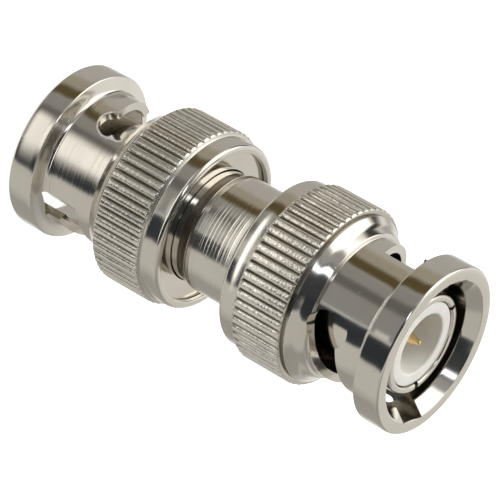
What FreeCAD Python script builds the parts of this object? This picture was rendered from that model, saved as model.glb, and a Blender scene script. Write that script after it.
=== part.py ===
"""Coaxial adapter with a bayonet plug at each end.

Every piece of the upper plug is drawn with its heights measured from the adapter's mid-plane.
The lower plug holds the same pieces, turned over. The finished part stands on its lower mouth.
"""
import FreeCAD, Part
import math
import os

import Sketcher

SIZES = {
    # Mid-plane to either mouth
    "half_length": 17.8,
    # Centre barrel
    "barrel_diameter": 9.6,
    "barrel_band": 4.4,
    "barrel_chamfer": 0.2,
    "barrel_end_groove": 0.7,
    "barrel_end_diameter": 8.4,
    # Outer contact: spigot in the barrel, neck, flange and slit tube
    "spigot_diameter": 7.2,
    "spigot_length": 2.0,
    "spigot_end_gap": 0.1,
    "line_bore_diameter": 5.8,
    "neck_diameter": 9.1,
    "neck_length": 2.5,
    "flange_diameter": 11.2,
    "flange_thickness": 0.7,
    "tube_diameter": 8.1,
    "tube_wall": 0.55,
    "tube_setback": 1.05,
    "insulator_step": 1.9,
    "tube_tip_chamfer": 0.15,
    "slit_count": 3,
    "slit_width": 0.4,
    "slit_length": 5.6,
    "slit_turn": 10,
    # Fits inside the body
    "press_clearance": 0.03,
    "insulator_clearance": 0.05,
    "stop_clearance": 0.02,
    # Insulators
    "insulator_setback": 0.15,
    "insulator_recess_diameter": 4.9,
    "insulator_recess_depth": 5.45,
    "insulator_chamfer": 0.12,
    "bead_half_length": 3.0,
    # Centre pins
    "conductor_diameter": 2.0,
    "conductor_stand": 0.3,
    "conductor_taper": 0.35,
    "pin_diameter": 1.35,
    "pin_setback": 1.35,
    "pin_point_length": 0.7,
    "pin_point_diameter": 0.4,
    "pin_collar_diameter": 3.0,
    "pin_collar_length": 0.6,
    "link_diameter": 1.0,
    "link_length": 2.0,
    # Gasket ahead of the flange
    "gasket_seat_diameter": 7.6,
    "gasket_length": 1.4,
    "gasket_clearance": 0.1,
    "gasket_chamfer": 0.2,
    # Wave springs and washers between flange and rolled rim
    "wave_height": 0.58,
    "wave_thickness": 0.2,
    "wave_count": 3,
    "wave_clearance": 0.02,
    "wave_margin": 0.1,
    "slip_thickness": 0.25,
    "slip_diameter": 11.4,
    "retaining_thickness": 0.5,
    "retaining_diameter": 12.7,
    "washer_clearance": 0.17,
    "washer_play": 0.04,
    # Coupling nut: rolled rim, grip and front rings
    "rim_thickness": 0.43,
    "rim_opening_diameter": 12.34,
    "rim_round": 0.35,
    "boss_diameter": 13.7,
    "boss_length": 1.5,
    "boss_shoulder": 0.12,
    "cavity_diameter": 11.6,
    "recess_clearance": 0.05,
    "knurl_diameter": 14.5,
    "grip_setback": 8.85,
    "knurl_chamfer": 0.15,
    "flute_count": 58,
    "flute_depth": 0.3,
    "flute_width": 0.4,
    "flute_margin": 0.2,
    "undercut_width": 0.2,
    "undercut_depth": 0.25,
    "front_ring_diameter": 13.7,
    "front_ring_length": 0.6,
    "second_ring_step": 0.65,
    "second_ring_length": 0.67,
    "ring_shoulder": 0.28,
    # Coupling nut: sleeve, collar and mouth
    "bore_diameter": 9.9,
    "sleeve_wall": 0.65,
    "collar_diameter": 13.6,
    "collar_length": 2.24,
    "collar_slope": 0.26,
    "collar_round": 0.26,
    "ridge_step": 0.45,
    "ridge_slope": 0.2,
    "mouth_diameter": 11.5,
    "mouth_depth": 0.97,
    # Bayonet slots, measured from the mouth
    "slot_count": 2,
    "slot_turn": 24.6,
    "detent_depth": 5.6,
    "detent_diameter": 2.64,
    "channel_depth": 6.38,
    "channel_width": 2.4,
    "channel_pitch": 6.3,
    "channel_sweep": 102.5,
    "entry_depth": 5.3,
    "entry_width": 2.5,
    "entry_diameter": 11.4,
    "lower_nut_turn": 8.5,
}

doc = FreeCAD.newDocument("bayonet_adapter")
sheet = doc.addObject("Spreadsheet::Sheet", "Sizes")
for row, (alias, number) in enumerate(SIZES.items(), start=1):
    sheet.set("A%d" % row, str(number))
    sheet.setAlias("A%d" % row, alias)
doc.recompute()

# Heights above the mid-plane and radii that several pieces share
BARREL_END = "(Sizes.barrel_band / 2 + Sizes.barrel_end_groove)"
FLANGE_REAR = "(%s + Sizes.neck_length)" % BARREL_END
FLANGE_FRONT = "(%s + Sizes.flange_thickness)" % FLANGE_REAR
GASKET_FRONT = "(%s + Sizes.gasket_length)" % FLANGE_FRONT
INSULATOR_STEP = "(%s + Sizes.insulator_step)" % FLANGE_FRONT
TUBE_TIP = "(Sizes.half_length - Sizes.tube_setback)"
INSULATOR_FACE = "(%s - Sizes.insulator_setback)" % TUBE_TIP
RECESS_FLOOR = "(%s - Sizes.insulator_recess_depth)" % INSULATOR_FACE
TUBE_RADIUS = "(Sizes.tube_diameter / 2)"
TUBE_INSIDE = "(%s - Sizes.tube_wall)" % TUBE_RADIUS
BORE_RADIUS = "(Sizes.bore_diameter / 2)"
WIRE_HOLE = "(Sizes.conductor_diameter / 2 + Sizes.insulator_clearance)"
SPRING_REACH = "(2 * Sizes.wave_height + 3 * Sizes.wave_clearance)"
SLIP_FRONT = "(%s - %s)" % (FLANGE_REAR, SPRING_REACH)
SLIP_REAR = "(%s - Sizes.slip_thickness)" % SLIP_FRONT
RETAINING_REAR = "(%s - Sizes.retaining_thickness)" % SLIP_REAR
WASHER_HOLE = "(Sizes.neck_diameter / 2 + Sizes.washer_clearance)"
NUT_REAR = "(%s - Sizes.washer_play - Sizes.rim_thickness)" % RETAINING_REAR
KNURL_REAR = "(%s + Sizes.boss_length + Sizes.boss_shoulder)" % NUT_REAR
KNURL_FRONT = "(Sizes.half_length - Sizes.grip_setback)"
RINGS_REAR = "(%s + Sizes.undercut_width)" % KNURL_FRONT
SLEEVE_RADIUS = "(%s + Sizes.sleeve_wall)" % BORE_RADIUS
CHANNEL_HEIGHT = "(Sizes.half_length - Sizes.channel_depth)"

ENDS = {
    "upper": FreeCAD.Rotation(),
    "lower": FreeCAD.Rotation(FreeCAD.Vector(0, 1, 0), 180),
}


def value(expression):
    """The number that an expression over the sheet gives."""
    return float(sheet.evalExpression(expression))


def origin_feature(body, role):
    """The plane or axis of the body's own origin that has this role."""
    return [item for item in body.Origin.OriginFeatures if item.Role == role][0]


def new_body(name):
    body = doc.addObject("PartDesign::Body", name)
    body.Label = name
    return body


def place(piece, end, turn=0.0):
    """Seat a piece in its plug, turned about its own axis by so many degrees."""
    about_axis = FreeCAD.Rotation(FreeCAD.Vector(0, 0, 1), turn)
    piece.Placement = FreeCAD.Placement(FreeCAD.Vector(0, 0, 0), ENDS[end] * about_axis)
    piece.setExpression(".Placement.Base.z", "Sizes.half_length")


def new_sketch(body, name, role):
    sketch = body.newObject("Sketcher::SketchObject", name)
    sketch.AttachmentSupport = (origin_feature(body, role), [""])
    sketch.MapMode = "FlatFace"
    return sketch


def pin_point(sketch, geometry, end, across, up):
    """Hold one point of a sketch at an offset from the sketch's origin."""
    for kind, axis, expression in (("DistanceX", -2, across), ("DistanceY", -1, up)):
        if expression == "0":
            sketch.addConstraint(Sketcher.Constraint("PointOnObject", geometry, end, axis))
            continue
        distance = Sketcher.Constraint(kind, -1, 1, geometry, end, value(expression))
        index = sketch.addConstraint(distance)
        sketch.setExpression("Constraints[%d]" % index, expression)


def draw_outline(sketch, corners):
    """Closed outline through corners given as expressions."""
    points = [FreeCAD.Vector(value(x), value(y), 0) for x, y in corners]
    count = len(points)
    for i in range(count):
        sketch.addGeometry(Part.LineSegment(points[i], points[(i + 1) % count]), False)
    for i in range(count):
        joined = Sketcher.Constraint("Coincident", i, 2, (i + 1) % count, 1)
        sketch.addConstraint(joined)
    for i, (x, y) in enumerate(corners):
        pin_point(sketch, i, 1, x, y)


def draw_circle(sketch, x, y, radius):
    centre = FreeCAD.Vector(value(x), value(y), 0)
    axis = FreeCAD.Vector(0, 0, 1)
    circle = sketch.addGeometry(Part.Circle(centre, axis, value(radius)), False)
    pin_point(sketch, circle, 3, x, y)
    index = sketch.addConstraint(Sketcher.Constraint("Radius", circle, value(radius)))
    sketch.setExpression("Constraints[%d]" % index, radius)


def revolve(body, name, corners):
    """Turn an outline of (radius, height) corners about the body's axis."""
    sketch = new_sketch(body, name + "_outline", "XZ_Plane")
    draw_outline(sketch, corners)
    turned = body.newObject("PartDesign::Revolution", name)
    turned.Profile = sketch
    turned.ReferenceAxis = (sketch, ["V_Axis"])
    turned.Angle = 360
    doc.recompute()


def ring_edges(shape, rings):
    """Names of the full circular edges at the given (radius, height) places."""
    places = [(value(radius), value(height)) for radius, height in rings]
    names = []
    for number, edge in enumerate(shape.Edges, start=1):
        if not isinstance(edge.Curve, Part.Circle):
            continue
        for radius, height in places:
            same_radius = abs(edge.Curve.Radius - radius) < 1e-4
            same_height = abs(edge.Curve.Center.z - height) < 1e-4
            if same_radius and same_height:
                names.append("Edge%d" % number)
    return names


def ease_rings(body, kind, size, rings):
    """Fillet or chamfer of one size on circular edges of the body so far."""
    base = body.Tip
    eased = body.newObject("PartDesign::" + kind, kind.lower() + "_of_" + base.Name)
    eased.Base = (base, ring_edges(base.Shape, rings))
    eased.setExpression("Radius" if kind == "Fillet" else "Size", size)
    doc.recompute()


def repeat_round(body, name, features, count, angle=360):
    """Copies of features about the body's axis."""
    pattern = body.newObject("PartDesign::PolarPattern", name)
    pattern.Originals = features
    pattern.Axis = (origin_feature(body, "Z_Axis"), [""])
    pattern.Angle = angle
    pattern.setExpression("Occurrences", count)
    body.Tip = pattern
    doc.recompute()
    return pattern


def make_centre_barrel():
    """Barrel between the nuts, with an inner rib that the two contacts face."""
    body = new_body("centre_barrel")
    band = "Sizes.barrel_diameter / 2"
    band_end = "Sizes.barrel_band / 2"
    end_radius = "Sizes.barrel_end_diameter / 2"
    socket = "Sizes.spigot_diameter / 2 + Sizes.press_clearance"
    rib = "Sizes.line_bore_diameter / 2"
    rib_end = BARREL_END + " - Sizes.spigot_length - Sizes.spigot_end_gap"
    upper_half = [
        (rib, rib_end), (socket, rib_end), (socket, BARREL_END), (end_radius, BARREL_END),
        (end_radius, band_end), (band, band_end),
    ]
    lower_half = [(radius, "-(%s)" % height) for radius, height in reversed(upper_half)]
    revolve(body, "barrel_turning", upper_half + lower_half)
    edges = [(band, band_end), (band, "-(%s)" % band_end)]
    ease_rings(body, "Chamfer", "Sizes.barrel_chamfer", edges)
    body.setExpression(".Placement.Base.z", "Sizes.half_length")
    return body


def make_outer_contact(end):
    """Contact tube, slit from its tip, with the flange that the springs push on."""
    body = new_body(end + "_outer_contact")
    spigot = "Sizes.spigot_diameter / 2"
    spigot_end = BARREL_END + " - Sizes.spigot_length"
    line_bore = "Sizes.line_bore_diameter / 2"
    gasket_seat = "Sizes.gasket_seat_diameter / 2"
    tube_rear = GASKET_FRONT + " + Sizes.gasket_clearance"
    revolve(body, "contact_turning", [
        (line_bore, spigot_end), (spigot, spigot_end),
        (spigot, BARREL_END), ("Sizes.neck_diameter / 2", BARREL_END),
        ("Sizes.neck_diameter / 2", FLANGE_REAR), ("Sizes.flange_diameter / 2", FLANGE_REAR),
        ("Sizes.flange_diameter / 2", FLANGE_FRONT), (gasket_seat, FLANGE_FRONT),
        (gasket_seat, tube_rear), (TUBE_RADIUS, tube_rear),
        (TUBE_RADIUS, TUBE_TIP), (TUBE_INSIDE, TUBE_TIP),
        (TUBE_INSIDE, INSULATOR_STEP), (line_bore, INSULATOR_STEP),
    ])
    tip_edges = [(TUBE_RADIUS, TUBE_TIP), (TUBE_INSIDE, TUBE_TIP)]
    ease_rings(body, "Chamfer", "Sizes.tube_tip_chamfer", tip_edges)
    sketch = new_sketch(body, "slit_outline", "XY_Plane")
    sketch.setExpression(".AttachmentOffset.Base.z", TUBE_TIP)
    sketch.setExpression(".AttachmentOffset.Rotation.Angle", "Sizes.slit_turn")
    side = "Sizes.slit_width / 2"
    draw_outline(sketch, [
        ("-" + side, "0"), (side, "0"),
        (side, "-Sizes.tube_diameter"), ("-" + side, "-Sizes.tube_diameter"),
    ])
    slit = body.newObject("PartDesign::Pocket", "contact_slit")
    slit.Profile = sketch
    slit.setExpression("Length", "Sizes.slit_length")
    doc.recompute()
    repeat_round(body, "contact_slits", [slit], "Sizes.slit_count")
    place(body, end)
    return body


def make_insulator(end):
    """Stepped sleeve in the contact tube, recessed round the pin."""
    body = new_body(end + "_insulator")
    head = TUBE_INSIDE + " - Sizes.insulator_clearance"
    stem = "Sizes.line_bore_diameter / 2 - Sizes.insulator_clearance"
    recess = "Sizes.insulator_recess_diameter / 2"
    revolve(body, "insulator_turning", [
        (WIRE_HOLE, "Sizes.bead_half_length"), (stem, "Sizes.bead_half_length"),
        (stem, INSULATOR_STEP), (head, INSULATOR_STEP), (head, INSULATOR_FACE),
        (recess, INSULATOR_FACE), (recess, RECESS_FLOOR), (WIRE_HOLE, RECESS_FLOOR),
    ])
    face_edges = [(head, INSULATOR_FACE), (recess, INSULATOR_FACE)]
    ease_rings(body, "Chamfer", "Sizes.insulator_chamfer", face_edges)
    place(body, end)
    return body


def make_centre_insulator():
    """Bead that holds the joined pins, counterbored for their collars."""
    body = new_body("centre_insulator")
    outside = "Sizes.line_bore_diameter / 2 - Sizes.insulator_clearance"
    collar_hole = "Sizes.pin_collar_diameter / 2 + Sizes.insulator_clearance"
    face = "Sizes.bead_half_length"
    counterbore = "Sizes.bead_half_length - Sizes.pin_collar_length"
    upper_half = [
        (WIRE_HOLE, counterbore), (collar_hole, counterbore), (collar_hole, face),
        (outside, face),
    ]
    lower_half = [(radius, "-(%s)" % height) for radius, height in reversed(upper_half)]
    revolve(body, "bead_turning", upper_half + lower_half)
    body.setExpression(".Placement.Base.z", "Sizes.half_length")
    return body


def make_centre_pin(end):
    """Pin with a collar; the upper one ends in a spigot, the lower one in its socket."""
    body = new_body(end + "_centre_pin")
    wire = "Sizes.conductor_diameter / 2"
    collar = "Sizes.pin_collar_diameter / 2"
    collar_rear = "Sizes.bead_half_length - Sizes.pin_collar_length"
    shoulder = RECESS_FLOOR + " + Sizes.conductor_stand"
    taper_end = shoulder + " + Sizes.conductor_taper"
    tip = "Sizes.half_length - Sizes.pin_setback"
    link = "Sizes.link_diameter / 2"
    socket = "Sizes.link_diameter / 2 + Sizes.press_clearance"
    socket_floor = "Sizes.link_length + Sizes.spigot_end_gap"
    if end == "upper":
        joint = [("0", "-Sizes.link_length"), (link, "-Sizes.link_length"), (link, "0")]
    else:
        joint = [("0", socket_floor), (socket, socket_floor), (socket, "0")]
    revolve(body, "pin_turning", joint + [
        (wire, "0"), (wire, collar_rear), (collar, collar_rear),
        (collar, "Sizes.bead_half_length"), (wire, "Sizes.bead_half_length"),
        (wire, shoulder), ("Sizes.pin_diameter / 2", taper_end),
        ("Sizes.pin_diameter / 2", tip + " - Sizes.pin_point_length"),
        ("Sizes.pin_point_diameter / 2", tip), ("0", tip),
    ])
    place(body, end)
    return body


def make_gasket(end):
    """Rubber ring in the seat at the root of the tube, against the front of the flange."""
    body = new_body(end + "_gasket")
    inner = "Sizes.gasket_seat_diameter / 2 + Sizes.press_clearance"
    outer = BORE_RADIUS + " - Sizes.gasket_clearance"
    revolve(body, "gasket_ring", [
        (inner, FLANGE_FRONT), (outer, FLANGE_FRONT), (outer, GASKET_FRONT),
        (inner, GASKET_FRONT),
    ])
    front_edges = [(inner, GASKET_FRONT), (outer, GASKET_FRONT)]
    ease_rings(body, "Chamfer", "Sizes.gasket_chamfer", front_edges)
    place(body, end)
    return body


def make_washer(end, name, outside, rear, thickness):
    """Flat ring that clears the neck of the contact."""
    body = new_body(end + name)
    sketch = new_sketch(body, "washer_outline", "XY_Plane")
    sketch.setExpression(".AttachmentOffset.Base.z", rear)
    draw_circle(sketch, "0", "0", outside)
    draw_circle(sketch, "0", "0", WASHER_HOLE)
    plate = body.newObject("PartDesign::Pad", "washer_plate")
    plate.Profile = sketch
    plate.setExpression("Length", thickness)
    place(body, end)
    return body


def wave_edge(radius, rear, amplitude, waves, turn):
    """Closed wavy curve of one radius, its lowest points at the height called rear."""
    steps = int(waves) * 12
    points = []
    for step in range(steps):
        angle = 2 * math.pi * step / steps
        height = rear + amplitude * (1 + math.cos(waves * (angle - turn)))
        points.append(FreeCAD.Vector(radius * math.cos(angle), radius * math.sin(angle), height))
    curve = Part.BSplineCurve()
    curve.interpolate(Points=points, PeriodicFlag=True)
    return curve.toShape()


def make_wave_spring(end, name, rear, turn):
    """Wave washer of even thickness."""
    thickness = value("Sizes.wave_thickness")
    amplitude = (value("Sizes.wave_height") - thickness) / 2
    waves = value("Sizes.wave_count")
    outer_radius = value("Sizes.slip_diameter / 2 - Sizes.wave_margin")
    inner = wave_edge(value(WASHER_HOLE), value(rear), amplitude, waves, turn)
    outer = wave_edge(outer_radius, value(rear), amplitude, waves, turn)
    spring = doc.addObject("Part::Feature", end + name)
    spring.Label = end + name
    spring.Shape = Part.makeRuledSurface(inner, outer).extrude(FreeCAD.Vector(0, 0, thickness))
    place(spring, end)
    return spring


def make_wave_springs(end):
    """Two wave springs stacked crest to crest between slip washer and flange."""
    half_wave = math.pi / value("Sizes.wave_count")
    rear = SLIP_FRONT + " + Sizes.wave_clearance"
    front = rear + " + Sizes.wave_height + Sizes.wave_clearance"
    return [
        make_wave_spring(end, "_wave_spring_rear", rear, 0),
        make_wave_spring(end, "_wave_spring_front", front, half_wave),
    ]


def nut_outline():
    """Outline of the coupling nut, from the rolled rim round to the mouth and back inside."""
    boss = "Sizes.boss_diameter / 2"
    boss_end = NUT_REAR + " + Sizes.boss_length"
    knurl = "Sizes.knurl_diameter / 2"
    knurl_edge = "Sizes.knurl_diameter / 2 - Sizes.knurl_chamfer"
    ring = "Sizes.front_ring_diameter / 2"
    undercut = "Sizes.front_ring_diameter / 2 - Sizes.undercut_depth"
    ring_end = RINGS_REAR + " + Sizes.front_ring_length"
    second = SLEEVE_RADIUS + " + Sizes.second_ring_step"
    second_end = ring_end + " + Sizes.second_ring_length"
    ring_foot = SLEEVE_RADIUS + " + Sizes.ring_shoulder"
    collar = "Sizes.collar_diameter / 2"
    collar_rear = "Sizes.half_length - Sizes.collar_length"
    ridge = SLEEVE_RADIUS + " + Sizes.ridge_step"
    ridge_rear = collar_rear + " - Sizes.collar_slope"
    sleeve_end = ridge_rear + " - Sizes.ridge_slope"
    recess = "Sizes.retaining_diameter / 2 + Sizes.recess_clearance"
    recess_front = SLIP_REAR + " + Sizes.washer_play"
    lip_face = RETAINING_REAR + " - Sizes.washer_play"
    shoulder = FLANGE_FRONT + " + Sizes.stop_clearance"
    outside = [
        ("Sizes.rim_opening_diameter / 2", NUT_REAR), (boss, NUT_REAR), (boss, boss_end),
        (knurl_edge, KNURL_REAR), (knurl, KNURL_REAR + " + Sizes.knurl_chamfer"),
        (knurl, KNURL_FRONT + " - Sizes.knurl_chamfer"), (knurl_edge, KNURL_FRONT),
        (undercut, KNURL_FRONT), (undercut, RINGS_REAR), (ring, RINGS_REAR),
        (second, ring_end), (ring_foot, second_end), (SLEEVE_RADIUS, second_end),
        (SLEEVE_RADIUS, sleeve_end), (ridge, ridge_rear), (collar, collar_rear),
        (collar, "Sizes.half_length"),
    ]
    inside = [
        ("Sizes.mouth_diameter / 2", "Sizes.half_length"),
        (BORE_RADIUS, "Sizes.half_length - Sizes.mouth_depth"), (BORE_RADIUS, shoulder),
        ("Sizes.cavity_diameter / 2", shoulder), ("Sizes.cavity_diameter / 2", recess_front),
        (recess, recess_front), (recess, lip_face),
        ("Sizes.rim_opening_diameter / 2", lip_face),
    ]
    return outside + inside


def cut_knurl(body):
    """Straight flutes round the grip."""
    sketch = new_sketch(body, "flute_outline", "XY_Plane")
    sketch.setExpression(".AttachmentOffset.Base.z", KNURL_FRONT + " - Sizes.flute_margin")
    root = "Sizes.knurl_diameter / 2 - Sizes.flute_depth"
    clear = "Sizes.knurl_diameter / 2 + Sizes.flute_depth"
    draw_outline(sketch, [("0", root), ("Sizes.flute_width", clear), ("-Sizes.flute_width", clear)])
    flute = body.newObject("PartDesign::Pocket", "grip_flute")
    flute.Profile = sketch
    flute.setExpression("Length", KNURL_FRONT + " - " + KNURL_REAR + " - 2 * Sizes.flute_margin")
    doc.recompute()
    return repeat_round(body, "grip_flutes", [flute], "Sizes.flute_count")


def cut_hole(body, name, height, diameter):
    """Round hole through the sleeve wall, where the slot ends."""
    sketch = new_sketch(body, name + "_outline", "XZ_Plane")
    draw_circle(sketch, "0", height, diameter + " / 2")
    hole = body.newObject("PartDesign::Pocket", name)
    hole.Profile = sketch
    hole.Type = "Length"
    hole.Reversed = True
    hole.setExpression("Length", "Sizes.knurl_diameter / 2")
    doc.recompute()
    return hole


def cut_channel(body):
    """Helical channel that draws the coupling lug toward the detent."""
    sketch = new_sketch(body, "channel_outline", "YZ_Plane")
    inner = "-Sizes.tube_diameter / 2"
    outer = "-(Sizes.collar_diameter / 2)"
    low = CHANNEL_HEIGHT + " - Sizes.channel_width / 2"
    high = CHANNEL_HEIGHT + " + Sizes.channel_width / 2"
    draw_outline(sketch, [(outer, low), (inner, low), (inner, high), (outer, high)])
    channel = body.newObject("PartDesign::SubtractiveHelix", "bayonet_channel")
    channel.Profile = sketch
    channel.ReferenceAxis = (sketch, ["V_Axis"])
    channel.Mode = "pitch-turns-angle"
    channel.setExpression("Pitch", "Sizes.channel_pitch")
    channel.setExpression("Turns", "Sizes.channel_sweep / 360")
    doc.recompute()
    return channel


def cut_entry(body):
    """Straight channel inside the bore, from the mouth to the helical one."""
    sketch = new_sketch(body, "entry_outline", "XY_Plane")
    sketch.setExpression(".AttachmentOffset.Base.z", "Sizes.half_length")
    side = "Sizes.entry_width / 2"
    reach = "Sizes.entry_diameter / 2"
    draw_outline(sketch, [("0", "-" + side), (reach, "-" + side), (reach, side), ("0", side)])
    entry = body.newObject("PartDesign::Pocket", "bayonet_entry")
    entry.Profile = sketch
    entry.setExpression("Length", "Sizes.entry_depth")
    doc.recompute()
    return entry


def make_coupling_nut(end, turn):
    """Knurled nut with two bayonet slots."""
    body = new_body(end + "_coupling_nut")
    revolve(body, "nut_turning", nut_outline())
    rim_edge = ("Sizes.boss_diameter / 2", NUT_REAR)
    collar_edge = ("Sizes.collar_diameter / 2", "Sizes.half_length")
    ease_rings(body, "Fillet", "Sizes.rim_round", [rim_edge])
    ease_rings(body, "Fillet", "Sizes.collar_round", [collar_edge])
    cut_knurl(body)
    detent_height = "Sizes.half_length - Sizes.detent_depth"
    cuts = [
        cut_hole(body, "slot_detent", detent_height, "Sizes.detent_diameter"),
        cut_hole(body, "slot_end", CHANNEL_HEIGHT, "Sizes.channel_width"),
        cut_channel(body),
        cut_entry(body),
    ]
    repeat_round(body, "bayonet_slots", cuts, "Sizes.slot_count")
    place(body, end, turn)
    return body


def make_plug(end, nut_turn):
    """All pieces of one plug."""
    slip = "Sizes.slip_diameter / 2"
    retaining = "Sizes.retaining_diameter / 2"
    return [
        make_outer_contact(end),
        make_insulator(end),
        make_centre_pin(end),
        make_gasket(end),
        make_washer(end, "_slip_washer", slip, SLIP_REAR, "Sizes.slip_thickness"),
        make_washer(end, "_retaining_washer", retaining, RETAINING_REAR,
                    "Sizes.retaining_thickness"),
        make_coupling_nut(end, nut_turn),
    ] + make_wave_springs(end)


def check_document(pieces):
    """Stop if any object failed or any piece isn't one valid solid."""
    for item in doc.Objects:
        if "Invalid" in item.State or "Error" in item.State:
            raise RuntimeError("%s did not compute: %s" % (item.Name, item.State))
    for piece in pieces:
        shape = piece.Shape
        if shape.isNull() or not shape.isValid() or len(shape.Solids) != 1:
            raise RuntimeError("%s is not one valid solid" % piece.Label)


slot_turn = value("Sizes.slot_turn")
pieces = [make_centre_barrel(), make_centre_insulator()]
pieces += make_plug("upper", slot_turn)
pieces += make_plug("lower", slot_turn + value("Sizes.lower_nut_turn"))
doc.recompute()
check_document(pieces)

os.makedirs("parts", exist_ok=True)
for piece in pieces:
    piece.Shape.exportStep(os.path.join("parts", piece.Label + ".step"))
    print("%-26s %9.3f mm3" % (piece.Label, piece.Shape.Volume))
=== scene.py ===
"""Looks of a coaxial adapter with a bayonet plug at each end.

The pieces are modelled again with fine steps, so that reflections run smoothly over them. Only
the bead inside the barrel keeps its own solid. Sizes are in millimetres unless a line says
otherwise.
"""
import logging
import math
from dataclasses import dataclass, field
from enum import Enum
from typing import Any, Callable, Optional, Sequence, Union

import bmesh
import bpy
from mathutils import Matrix, Vector, noise


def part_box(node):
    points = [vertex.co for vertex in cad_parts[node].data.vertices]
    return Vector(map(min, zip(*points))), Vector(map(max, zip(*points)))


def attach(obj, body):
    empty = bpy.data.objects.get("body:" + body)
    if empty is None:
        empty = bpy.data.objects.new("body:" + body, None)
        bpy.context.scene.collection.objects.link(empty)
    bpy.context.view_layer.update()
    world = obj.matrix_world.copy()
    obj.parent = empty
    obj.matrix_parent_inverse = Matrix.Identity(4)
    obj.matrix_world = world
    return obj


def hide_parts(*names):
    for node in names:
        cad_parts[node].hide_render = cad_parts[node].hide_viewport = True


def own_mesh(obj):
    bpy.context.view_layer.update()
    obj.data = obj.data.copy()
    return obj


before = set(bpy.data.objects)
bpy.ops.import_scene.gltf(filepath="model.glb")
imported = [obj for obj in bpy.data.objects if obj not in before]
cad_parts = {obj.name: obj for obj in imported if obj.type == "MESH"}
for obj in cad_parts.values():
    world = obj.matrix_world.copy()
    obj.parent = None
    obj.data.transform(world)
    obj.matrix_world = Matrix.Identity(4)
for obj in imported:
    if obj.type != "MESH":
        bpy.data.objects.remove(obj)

log = logging.getLogger("adapter")

Mesh = bmesh.types.BMesh
Material = bpy.types.Material
Object = bpy.types.Object
Colour = tuple[float, float, float]

MM = 0.001
FULL_TURN = 2 * math.pi

# A turned piece is spun in equal sectors, whose points meet within the seam
SECTORS = 8
SEAM = 0.001

# Facets of a rounding and of a drill, and the angle from which an edge is sharp
ROUND_FACETS = 6
DRILL_FACETS = 96
SHARP_ANGLE = math.radians(32)

# How far a cutter runs past what it cuts
CUT_PAST = 1.0

# Low edge, in degrees, of a patch that reaches straight down
LOWEST = -90.0

# Least value of what is divided by
LEAST = 0.001

# What a warmth of 1 takes from the green and from the blue of a patch
GREEN_LOSS, BLUE_LOSS = 0.25, 0.70

# Wavering of the tool marks: its cells to a metre and its reach
WAVER_SCALE, WAVER_REACH = 180.0, 0.05

# Coarse and fine tool marks: how many to a millimetre, and their shares
MARKS = ((4.0, 0.6), (11.0, 0.4))


class End(Enum):
    """The two plugs of the adapter."""

    UPPER = "upper"
    LOWER = "lower"

    def placement(self, half: float, turn: float = 0.0) -> Matrix:
        """Place of a piece drawn with its heights from the mid-plane toward its own mouth.

        Args:
            half: Height of the mid-plane over the floor, in millimetres.
            turn: Turn of the piece about its own axis, in degrees.

        Returns:
            The matrix from the piece's own millimetres to the frame's millimetres.
        """
        about_axis = Matrix.Rotation(math.radians(turn), 4, "Z")
        turned_over = Matrix.Rotation(math.pi, 4, "Y") if self is End.LOWER else Matrix()
        return Matrix.Translation((0, 0, half)) @ turned_over @ about_axis


# Shader maths


class Number:
    """A number that changes over a surface; arithmetic on it adds Math nodes."""

    def __init__(self, tree: "ShaderTree", socket: bpy.types.NodeSocket) -> None:
        """Keep the tree and the output socket that carries the number."""
        self.tree = tree
        self.socket = socket

    def math(self, operation: str, *others: Union["Number", float]) -> "Number":
        """Math node of one operation on this number and others."""
        inputs = {index: value for index, value in enumerate((self,) + others)}
        return self.tree.node("ShaderNodeMath", {"operation": operation}, inputs)

    def flipped(self, operation: str, first: float) -> "Number":
        """Math node with a plain number as its first input."""
        return self.tree.node("ShaderNodeMath", {"operation": operation}, {0: first, 1: self})

    def __add__(self, other: Union["Number", float]) -> "Number":
        """Sum."""
        return self.math("ADD", other)

    def __radd__(self, other: float) -> "Number":
        """Sum with a plain number first."""
        return self.flipped("ADD", other)

    def __sub__(self, other: Union["Number", float]) -> "Number":
        """Difference."""
        return self.math("SUBTRACT", other)

    def __rsub__(self, other: float) -> "Number":
        """Difference with a plain number first."""
        return self.flipped("SUBTRACT", other)

    def __mul__(self, other: Union["Number", float]) -> "Number":
        """Product."""
        return self.math("MULTIPLY", other)

    def __rmul__(self, other: float) -> "Number":
        """Product with a plain number first."""
        return self.flipped("MULTIPLY", other)

    def __truediv__(self, other: Union["Number", float]) -> "Number":
        """Quotient."""
        return self.math("DIVIDE", other)

    def between(self, low: float, high: float) -> "Number":
        """Smooth mask that rises from 0 to 1 as the number goes from low to high."""
        settings = {"interpolation_type": "SMOOTHSTEP"}
        return self.tree.node("ShaderNodeMapRange", settings, {0: self, 1: low, 2: high})


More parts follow.
